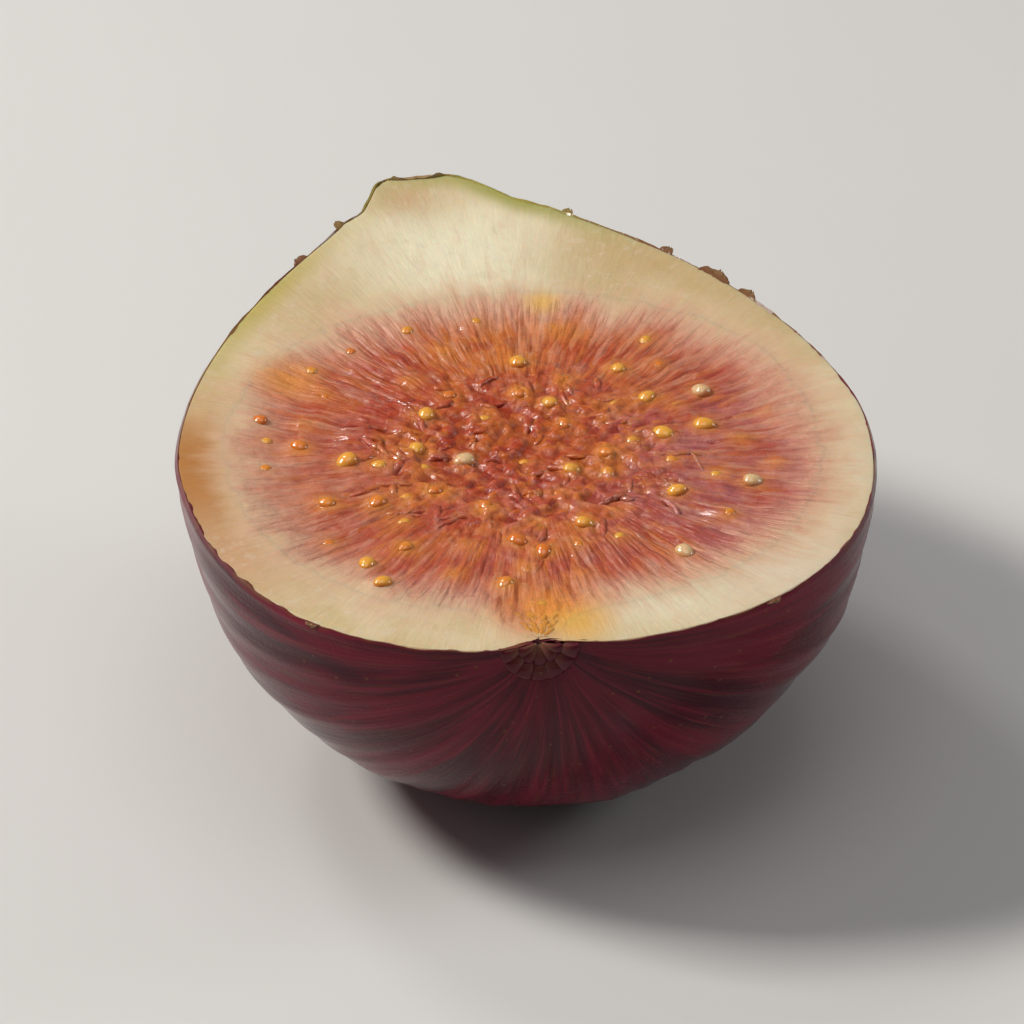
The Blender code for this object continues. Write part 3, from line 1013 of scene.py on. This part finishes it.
def list_strands():
    """Strands side by side in rings: long and thin at the pulp's edge, short and plump in its middle."""
    draw = random.Random(RANDOM_SEED + 2)
    strands = []
    for ring_share in np.arange(STRAND_FIRST_RING, 0.04, -STRAND_RING_STEP):
        outer = float(smoothstep(ring_share, 0.30, 0.85))
        spacing = (0.66 - 0.30 * outer) * MM
        count = round(math.tau * PULP_HALF_WIDTH * ring_share / spacing)
        for number in range(count):
            angle = math.tau * (number + draw.random()) / count
            share = ring_share + draw.uniform(-0.05, 0.05)
            to_left = max(0.0, -math.cos(angle)) * outer
            heading = angle + math.pi + draw.gauss(0.0, 0.06 + 0.85 * (1 - outer))
            strands.append(
                {
                    "root": plan_at(share, angle),
                    "heading": heading,
                    "length": (1.3 + 2.9 * outer) * draw.uniform(0.7, 1.3) * MM,
                    "half_width": (0.38 - 0.19 * outer + 0.08 * to_left) * draw.uniform(0.75, 1.25) * MM,
                    "bend": draw.uniform(-0.35, 0.35) * MM,
                    "lift": (0.10 - 0.05 * outer) * draw.uniform(-1.0, 1.0) * MM,
                    "relief": (0.27 - 0.17 * outer + 0.06 * to_left) * MM,
                    "tone": draw.random(),
                }
            )
    return strands


def lay_strands():
    """Maps of how high the strands stand over the pulp's bed, and of the tone of the top one."""
    low = PULP_CENTRE - STRAND_MAP_MARGIN * np.array((PULP_HALF_WIDTH, PULP_TO_EYE + EYE_CHANNEL_LENGTH))
    high = PULP_CENTRE + STRAND_MAP_MARGIN * np.array((PULP_HALF_WIDTH, PULP_TO_STEM))
    lift = PlanMap(low, high, STRAND_MAP_PITCH, BARE_LIFT)
    tone = PlanMap(low, high, STRAND_MAP_PITCH, BARE_TONE)
    for strand in list_strands():
        ahead = rays_at(strand["heading"])
        aside = np.array((-ahead[1], ahead[0]))
        ends = np.stack((strand["root"], strand["root"] + ahead * strand["length"]))
        spare = strand["half_width"] + abs(strand["bend"])
        first = np.maximum(((ends.min(axis=0) - spare - lift.low) / lift.pitch).astype(int), 0)
        last = ((ends.max(axis=0) + spare - lift.low) / lift.pitch).astype(int) + 2
        rows, columns = slice(first[1], last[1]), slice(first[0], last[0])
        away = lift.plans(rows, columns) - strand["root"]
        run = away @ ahead / strand["length"]
        inside = (run > 0) & (run < 1)
        run = np.clip(run, 0.0, 1.0)
        off = away @ aside - strand["bend"] * 4 * run * (1 - run)
        half_width_here = strand["half_width"] * np.sqrt(np.clip(1 - np.abs(2 * run - 1) ** 5, 0.0, 1.0))
        inside &= np.abs(off) < half_width_here
        profile = 1 - (off / np.maximum(half_width_here, 1e-9)) ** 2
        top = strand["lift"] + strand["relief"] * (profile - 0.35) * np.sin(math.pi * (0.12 + 0.8 * run))
        over = inside & (top > lift.values[rows, columns])
        lift.values[rows, columns][over] = top[over]
        tone.values[rows, columns][over] = strand["tone"]
    return lift.blurred(1), tone.blurred(1)


PULP_COLUMNS = 292
PULP_RIM_STEPS = 4
PULP_REACH = 1.055
SHEET_LIMIT = 21.45 * MM
PULP_THICKNESS = 3.0 * MM
PULP_RIM_DROP = 0.15 * MM
# Depth below the strands round a point at which the painted crease shade is full
CREASE_SHADE_DEPTH = 0.10 * MM


def make_pulp(material, seeds, lift, tone):
    """The pulp: a sheet of strands that overlaps the flesh's edge, with a closed underside."""
    pulp = new_sheet("fig_pulp", PULP_COLUMNS, PULP_COLUMNS)
    pull_rim_down(pulp, PULP_RIM_STEPS)
    square = coordinates(pulp)
    across, along = square[:, 0], square[:, 1]
    disc = np.stack((across * np.sqrt(1 - along**2 / 2), along * np.sqrt(1 - across**2 / 2)), axis=1)
    under = np.clip(-square[:, 2] / PULP_RIM_STEPS, 0.0, 1.0)
    reach = np.hypot(disc[:, 0], disc[:, 1]) * np.cos(under * math.pi / 2)
    angle = np.arctan2(disc[:, 1], disc[:, 0])
    plan = PULP_CENTRE + (reach * sheet_radius(angle))[:, None] * rays_at(angle)
    glow = seed_glow(plan, seeds)
    height = pulp_height(plan, lift, glow)
    height -= (under > 0) * (PULP_RIM_DROP + PULP_THICKNESS * np.sin(under * math.pi / 2))
    move_to(pulp, np.column_stack((plan, height)) + SHIFT)
    # Painted shade: how far each point sinks below the blurred strands round it, which the colour darkens
    # towards crimson
    hollow = np.clip((lift.blurred(5).read(plan) - lift.read(plan)) / CREASE_SHADE_DEPTH, 0.0, 1.0)
    store(pulp, **face_values(plan), crease=hollow, tone=tone.read(plan), glow=0.85 * glow)
    face_out(pulp)
    smooth(pulp)
    return dress(pulp, material)


def sheet_radius(angle):
    """The pulp's sheet overlaps the flesh's edge, but stays inside the skin at the eye."""
    return np.minimum(PULP_REACH * pulp_radius(angle), SHEET_LIMIT)


def pulp_height(plan, lift, glow):
    share = share_of(plan)
    uneven = share + 0.02 * plan_noise(plan + 7 * MM, 330.0, 2)
    inward = smoothstep(share, 1.0, 0.72)
    at_edge = smoothstep(uneven, 1.05, 0.94)
    lumps = (0.03 + 0.11 * inward) * MM * plan_noise(plan, 480.0, 3)
    strands = lift.read(plan) * (0.22 + 0.78 * inward) + 0.02 * MM
    sink = 0.13 * MM * smoothstep(uneven, 1.0, PULP_REACH)
    return grainy_level(plan) + (lumps + strands) * at_edge - sink + SEED_MOUND * glow


def face_values(plan):
    """Two of the numbers that the cut face's colours read at each vertex."""
    return {"share": share_of(plan), "from_skin": SKIN_DISTANCE.read(plan)}


GLOW_REACH = 0.95 * MM
SEED_MOUND = 0.26 * MM


def seed_glow(plan, seeds):
    """Near 1 beside a seed, where its juice shows orange, and 0 away from all of them."""
    glow = np.zeros(len(plan))
    for seed in seeds:
        off = ((plan - seed["plan"]) ** 2).sum(axis=1)
        glow = np.maximum(glow, seed["glow"] * np.exp(-off / GLOW_REACH**2))
    return glow


def solid_seed_plans():
    """The same scatter as the solid's seeds."""
    draw = random.Random(RANDOM_SEED)
    plans = []
    while len(plans) < SOLID_SEEDS:
        share = SOLID_SEED_FREE_EDGE * math.sqrt(draw.random())
        angle = draw.uniform(-math.pi, math.pi)
        plan = plan_at(share, angle)
        if all(np.linalg.norm(plan - other) > SOLID_SEED_GAP for other in plans):
            plans.append(plan)
    return plans


SHOWN_SEED_GAP = 1.8 * MM


def list_seeds():
    draw = random.Random(RANDOM_SEED + 5)
    seeds = []

    def add(plan, pale, tone, rise, size, glow):
        looks = {"tone": draw.uniform(*tone), "rise": draw.uniform(*rise), "size": draw.uniform(*size)}
        seeds.append({"plan": plan, "pale": pale, "glow": glow, **looks})

    for pixel in GOLD_SEED_PIXELS:
        add(from_pixel(pixel), 0.0, (0.5, 1.0), (-0.03, 0.11), (0.94, 1.24), 0.9)
    for pixel in CREAM_SEED_PIXELS:
        add(from_pixel(pixel), 1.0, (0.5, 1.0), (-0.03, 0.11), (0.98, 1.24), 0.7)
    for pixel in ORANGE_SEED_PIXELS:
        add(from_pixel(pixel), 0.0, (0.05, 0.35), (0.01, 0.10), (0.88, 1.08), 1.0)
    shown = [seed["plan"] for seed in seeds]
    for plan in solid_seed_plans():
        if min(np.linalg.norm(plan - other) for other in shown) > SHOWN_SEED_GAP:
            add(plan, 0.0, (0.0, 0.6), (-0.22, -0.07), (0.70, 0.92), 0.6)
    return seeds


SEED_HALF_LENGTH = 0.66 * MM
SEED_HALF_WIDTH = 0.54 * MM
SEED_HALF_HEIGHT = 0.432 * MM
SEED_TAPER = (0.18, 0.12)
SEED_LIFT = 0.02 * MM


def make_seeds(material, seeds, lift):
    """Each is a blunt egg with its narrow end towards the flesh, half sunk in the pulp."""
    master = new_ball("seed", 16, 10)
    lay_poles_along_y(master)
    ball = coordinates(master)
    blunt = ball * (SEED_HALF_WIDTH, SEED_HALF_LENGTH, SEED_HALF_HEIGHT)
    blunt[:, 0] *= 1.0 - SEED_TAPER[0] * ball[:, 1]
    blunt[:, 2] *= 1.0 - SEED_TAPER[1] * ball[:, 1]
    draw = random.Random(RANDOM_SEED + 1)
    bed = lift.blurred(5)
    copies = []
    for seed in seeds:
        away = seed["plan"] - PULP_CENTRE
        turn = math.atan2(away[1], away[0]) - math.pi / 2 + draw.gauss(0.0, 0.7)
        tilt = draw.uniform(-0.3, 0.3)
        spin = np.array(Matrix.Rotation(turn, 3, "Z") @ Matrix.Rotation(tilt, 3, "X"))
        spot = seed["plan"][None, :]
        height = float(grainy_level(spot)[0] + bed.read(spot)[0]) + SEED_LIFT + seed["rise"] * MM
        points = seed["size"] * blunt @ spin.T + (*seed["plan"], height) + SHIFT
        values = {"tone": seed["tone"], "pale": seed["pale"], "sunk": (1 - ball[:, 2]) / 2}
        copies.append((points, values))
    return join_copies("fig_seeds", master, copies, material)


LOOSE_STRANDS = 80
LOOSE_END_SINK = 0.30 * MM
LOOSE_FLATNESS = 0.8


def make_loose_strands(material, seeds, lift, tone):
    """Plump strands that lie on top of the others, with both ends sunk among them."""
    master = new_ball("strand", 8, 12)
    lay_poles_along_y(master)
    ball = coordinates(master)
    run = (1.0 - ball[:, 1]) / 2
    draw = random.Random(RANDOM_SEED + 3)
    bed = lift.blurred(3)
    copies = []
    for _ in range(LOOSE_STRANDS):
        share = 0.68 * math.sqrt(draw.uniform(0.02, 1.0))
        angle = draw.uniform(-math.pi, math.pi)
        outer = float(smoothstep(share, 0.30, 0.85))
        length = (1.7 + 2.2 * outer) * draw.uniform(0.7, 1.25) * MM
        half = (0.26 - 0.10 * outer + 0.05 * max(0.0, -math.cos(angle))) * draw.uniform(0.8, 1.2) * MM
        bend = draw.uniform(-0.4, 0.4) * MM
        rise = draw.uniform(-0.04, 0.05) * MM
        heading = angle + math.pi + draw.gauss(0.0, 0.10 + 0.85 * (1 - outer))
        ahead = rays_at(heading)
        aside = np.array((-ahead[1], ahead[0]))
        root = plan_at(share, angle)
        middle = root + (run * length)[:, None] * ahead + (bend * np.sin(run * math.pi))[:, None] * aside
        plan = middle + (ball[:, 0] * half)[:, None] * aside
        ends = LOOSE_END_SINK * (2 * run - 1) ** 4
        height = face_level(middle) + bed.read(middle) + rise - ends + ball[:, 2] * half * LOOSE_FLATNESS
        values = {
            **face_values(plan),
            # Painted shade: the underside of each loose strand is darkened towards crimson
            "crease": np.clip(-ball[:, 2] * 0.3, 0.0, 1.0),
            "tone": 0.55 * draw.random() + 0.45 * tone.read(plan),
            "glow": 0.5 * seed_glow(plan, seeds),
        }
        copies.append((np.column_stack((plan, height)) + SHIFT, values))
    return join_copies("fig_loose_strands", master, copies, material)


# Bits of torn skin on the rim: pixel in the photograph, length, width and how steeply they stand up
FLAKES = (
    ((565, 343), 0.60 * MM, 0.9 * MM, 0.55), ((548, 353), 0.50 * MM, 1.4 * MM, 0.25),
    ((640, 339), 0.55 * MM, 0.8 * MM, 0.50), ((673, 351), 0.60 * MM, 1.0 * MM, 0.55),
    ((687, 360), 0.95 * MM, 2.7 * MM, 0.22), ((696, 367), 0.65 * MM, 1.6 * MM, 0.24),
    ((562, 469), 0.45 * MM, 1.0 * MM, 0.20), ((703, 463), 0.50 * MM, 1.2 * MM, 0.20),
)
FLAKE_INSIDE = 0.50
FLAKE_THICKNESS = 0.09 * MM
FLAKE_CRUMPLE_OUT = 0.15
FLAKE_CRUMPLE_UP = 0.14 * MM
FLAKE_CRUMPLE_WAVES = (2.0, 2.6)
OUTLINE_POINTS = 2400


def new_leaf(name, columns, rows):
    """A thin sheet, and where its points lie: 0 to 1 from root to tip, -1 to 1 across, 0 to -1 down."""
    leaf = new_sheet(name, columns, rows)
    thicken(leaf, 1.0)
    along, side, layer = coordinates(leaf).T
    return leaf, (along + 1) / 2, side, layer


def make_flakes(material):
    """Torn bits of skin that stand up from the rim and curl."""
    master, run, side, layer = new_leaf("flake", 12, 16)
    outline = cut_outline(0.0, np.linspace(0, 1, OUTLINE_POINTS, endpoint=False))
    draw = random.Random(RANDOM_SEED + 4)
    copies = []
    for pixel, length, width, steepness in FLAKES:
        nearest = int(np.argmin(np.linalg.norm(outline - from_pixel(pixel), axis=1)))
        ahead = outline[(nearest + 3) % OUTLINE_POINTS] - outline[nearest - 3]
        ahead /= np.linalg.norm(ahead)
        outward = np.array((ahead[1], -ahead[0]))
        curl = draw.uniform(0.4, 1.0) * steepness
        ripple = draw.uniform(0.0, math.tau)
        out = length * (run - FLAKE_INSIDE)
        up = length * (steepness * run - curl * run**2 / 2) - 0.02 * MM
        waves = (FLAKE_CRUMPLE_WAVES[0] * run, FLAKE_CRUMPLE_WAVES[1] * side, np.full_like(run, ripple))
        crumple = fractal(np.column_stack(waves))
        out += np.where(out > 0, FLAKE_CRUMPLE_OUT * length * crumple, 0.0)
        along = width / 2 * side * np.sqrt(np.clip(1.05 - run**2.5, 0.0, 1.0))
        up += FLAKE_CRUMPLE_UP * crumple * run + layer * FLAKE_THICKNESS
        plan = outline[nearest] + out[:, None] * outward + along[:, None] * ahead
        points = np.column_stack((plan, BULB_DEPTH - 0.05 * MM + up)) + SHIFT
        copies.append((points, {"rim": 0.45 + 0.4 * run, "scar": 0.15 + 0.4 * run**2}))
    return join_copies("fig_skin_flakes", master, copies, material)


# Rows of scales that close over the eye: how many, radius of their roots, of their tips, and width
EYE_SCALE_ROWS = ((7, 2.5 * MM, 0.9 * MM, 1.25 * MM), (5, 1.5 * MM, 0.15 * MM, 0.95 * MM))
EYE_SCALE_THICKNESS = 0.22 * MM
EYE_SCALE_ARCH = 0.50 * MM
EYE_ROW_DROP = 0.14 * MM


def make_eye_scales(material):
    """Small pointed scales over the eye, half of which the cut has left."""
    master, run, side, layer = new_leaf("scale", 8, 6)
    draw = random.Random(RANDOM_SEED + 6)
    copies = []
    for row, (count, root_radius, tip_radius, width) in enumerate(EYE_SCALE_ROWS):
        for number in range(count):
            turn = math.pi * (number + 0.5 + draw.uniform(-0.12, 0.12)) / count
            radius = root_radius + (tip_radius - root_radius) * run
            along = width / 2 * side * np.sqrt(np.clip(1.02 - run**2, 0.0, 1.0))
            arch = EYE_SCALE_ARCH * np.sin(math.pi * (0.15 + 0.75 * run)) * (1 - 0.5 * side**2)
            y = eye_dimple(radius) - arch + EYE_ROW_DROP * (1 - row) - layer * EYE_SCALE_THICKNESS
            x = radius * math.cos(turn) - along * math.sin(turn)
            below = radius * math.sin(turn) + along * math.cos(turn)
            z = BULB_DEPTH - np.maximum(below, 0.02 * MM)
            points = np.column_stack((x, y, z)) + SHIFT
            copies.append((points, {"rim": 0.10 + 0.6 * run**2, "scar": 0.35 * run**2}))
    return join_copies("fig_eye_scales", master, copies, material)


BRACT_ROWS = 5
BRACTS_IN_ROW = 4
BRACT_FIRST = 2.2 * MM
BRACT_STEP = 0.85 * MM
BRACT_HALF_SIZES = np.array((0.26, 0.70, 0.20)) * MM
BRACT_SINK = 0.10 * MM


def make_bracts(material):
    """Amber scales, cut through, that fill the channel from the eye to the pulp."""
    master = new_ball("bract", 12, 8)
    lay_poles_along_y(master)
    ball = coordinates(master)
    to_pulp = PULP_CENTRE / np.linalg.norm(PULP_CENTRE)
    aside = np.array((-to_pulp[1], to_pulp[0]))
    draw = random.Random(RANDOM_SEED + 7)
    copies = []
    for row in range(BRACT_ROWS):
        for number in range(BRACTS_IN_ROW):
            side = (number + 0.5) / BRACTS_IN_ROW * 2 - 1
            spot = to_pulp * (BRACT_FIRST + BRACT_STEP * row + draw.uniform(-0.25, 0.25) * MM)
            spot = spot + aside * side * (0.8 + 0.25 * row) * MM
            turn = math.atan2(to_pulp[1], to_pulp[0]) - math.pi / 2 + side * 0.9 + draw.uniform(-0.2, 0.2)
            size = BRACT_HALF_SIZES * draw.uniform(0.8, 1.2)
            spin = np.array(Matrix.Rotation(turn, 3, "Z"))
            height = float(grainy_level(spot[None, :])[0]) - BRACT_SINK
            points = ball * size @ spin.T + (*spot, height)
            values = {
                "share": np.minimum(share_of(points[:, :2]), 0.7),
                "from_skin": SKIN_DISTANCE.read(points[:, :2]),
                "crease": 0.0,
                "tone": draw.random(),
                "glow": draw.uniform(0.6, 0.95),
            }
            copies.append((points + SHIFT, values))
    return join_copies("fig_bracts", master, copies, material)


# Floor, light and camera

FLOOR_SIZE = 3.0
FLOOR_GREY = (0.70, 0.685, 0.66)
FLOOR_SHADE = (0.63, 0.61, 0.58)
CAMERA_DISTANCE = 0.80
FRAME_WIDTH = 66 * MM
SENSOR_WIDTH = 36.0
AIM = Vector((0.0, 0.0, 0.0125))


def make_floor():
    bpy.ops.mesh.primitive_plane_add(size=FLOOR_SIZE)
    floor = named("floor")
    material, tree, shader = new_material("pale_floor")
    cloud = grain(tree, object_place(tree), 60.0)
    colour = lay_tints(tree, FLOOR_GREY, ((FLOOR_SHADE, cloud, 0.3, 0.7, 0.06),))
    set_inputs(tree, shader, {"Base Color": colour, "Roughness": 0.55})
    floor.data.materials.append(material)


def add_light(name, azimuth, elevation, distance, size, power, colour=(1.0, 1.0, 1.0)):
    """A square soft light that faces the fig. Azimuth turns as the camera's does."""
    bpy.ops.object.light_add(type="AREA")
    light = bpy.context.object
    light.name = name
    face_fig(light, math.radians(azimuth), math.radians(elevation), distance)
    light.data.size = size
    light.data.energy = power
    light.data.color = colour


def face_fig(thing, azimuth, elevation, distance):
    """Sets a light or a camera at a distance from the fig and turns it to face the fig."""
    across = math.sin(azimuth) * math.cos(elevation)
    towards = -math.cos(azimuth) * math.cos(elevation)
    back = Vector((across, towards, math.sin(elevation)))
    thing.location = AIM + back * distance
    thing.rotation_mode = "QUATERNION"
    thing.rotation_quaternion = (-back).to_track_quat("-Z", "Y")


def make_light():
    add_light("key", -105, 45, 0.55, 0.12, 2.45, (1.0, 0.97, 0.93))
    add_light("right", 95, 25, 0.60, 0.16, 0.50, (0.95, 0.97, 1.0))
    add_light("back", -145, 50, 0.60, 0.11, 0.50)
    add_light("top", 10, 80, 0.70, 0.45, 0.80)
    world = bpy.context.scene.world or bpy.data.worlds.new("studio")
    bpy.context.scene.world = world
    world.use_nodes = True
    sky = world.node_tree.nodes["Background"]
    sky.inputs["Color"].default_value = (0.86, 0.87, 0.90, 1.0)
    sky.inputs["Strength"].default_value = 0.14


def make_camera():
    bpy.ops.object.camera_add()
    camera = bpy.context.object
    camera.name = "camera"
    face_fig(camera, view_turn(), ELEVATION, CAMERA_DISTANCE)
    camera.data.sensor_width = SENSOR_WIDTH
    camera.data.lens = SENSOR_WIDTH * CAMERA_DISTANCE / FRAME_WIDTH
    camera.data.clip_start = 0.01
    camera.data.clip_end = 20.0
    bpy.context.scene.camera = camera
    bpy.context.scene.view_settings.view_transform = "Standard"


def make_fig():
    face_group = cut_face_group(ray_place_group())
    skin = skin_material()
    flesh = face_material("fig_flesh", face_group)
    pulp = face_material("fig_pulp", face_group)
    seeds = list_seeds()
    lift, tone = lay_strands()
    return (
        make_skin(skin),
        make_flakes(skin),
        make_eye_scales(skin),
        make_flesh(flesh),
        make_pulp(pulp, seeds, lift, tone),
        make_loose_strands(pulp, seeds, lift, tone),
        make_bracts(pulp),
        make_seeds(seed_material(), seeds, lift),
    )


make_camera()
make_light()
make_floor()
for fig_piece in make_fig():
    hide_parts("fig_half")
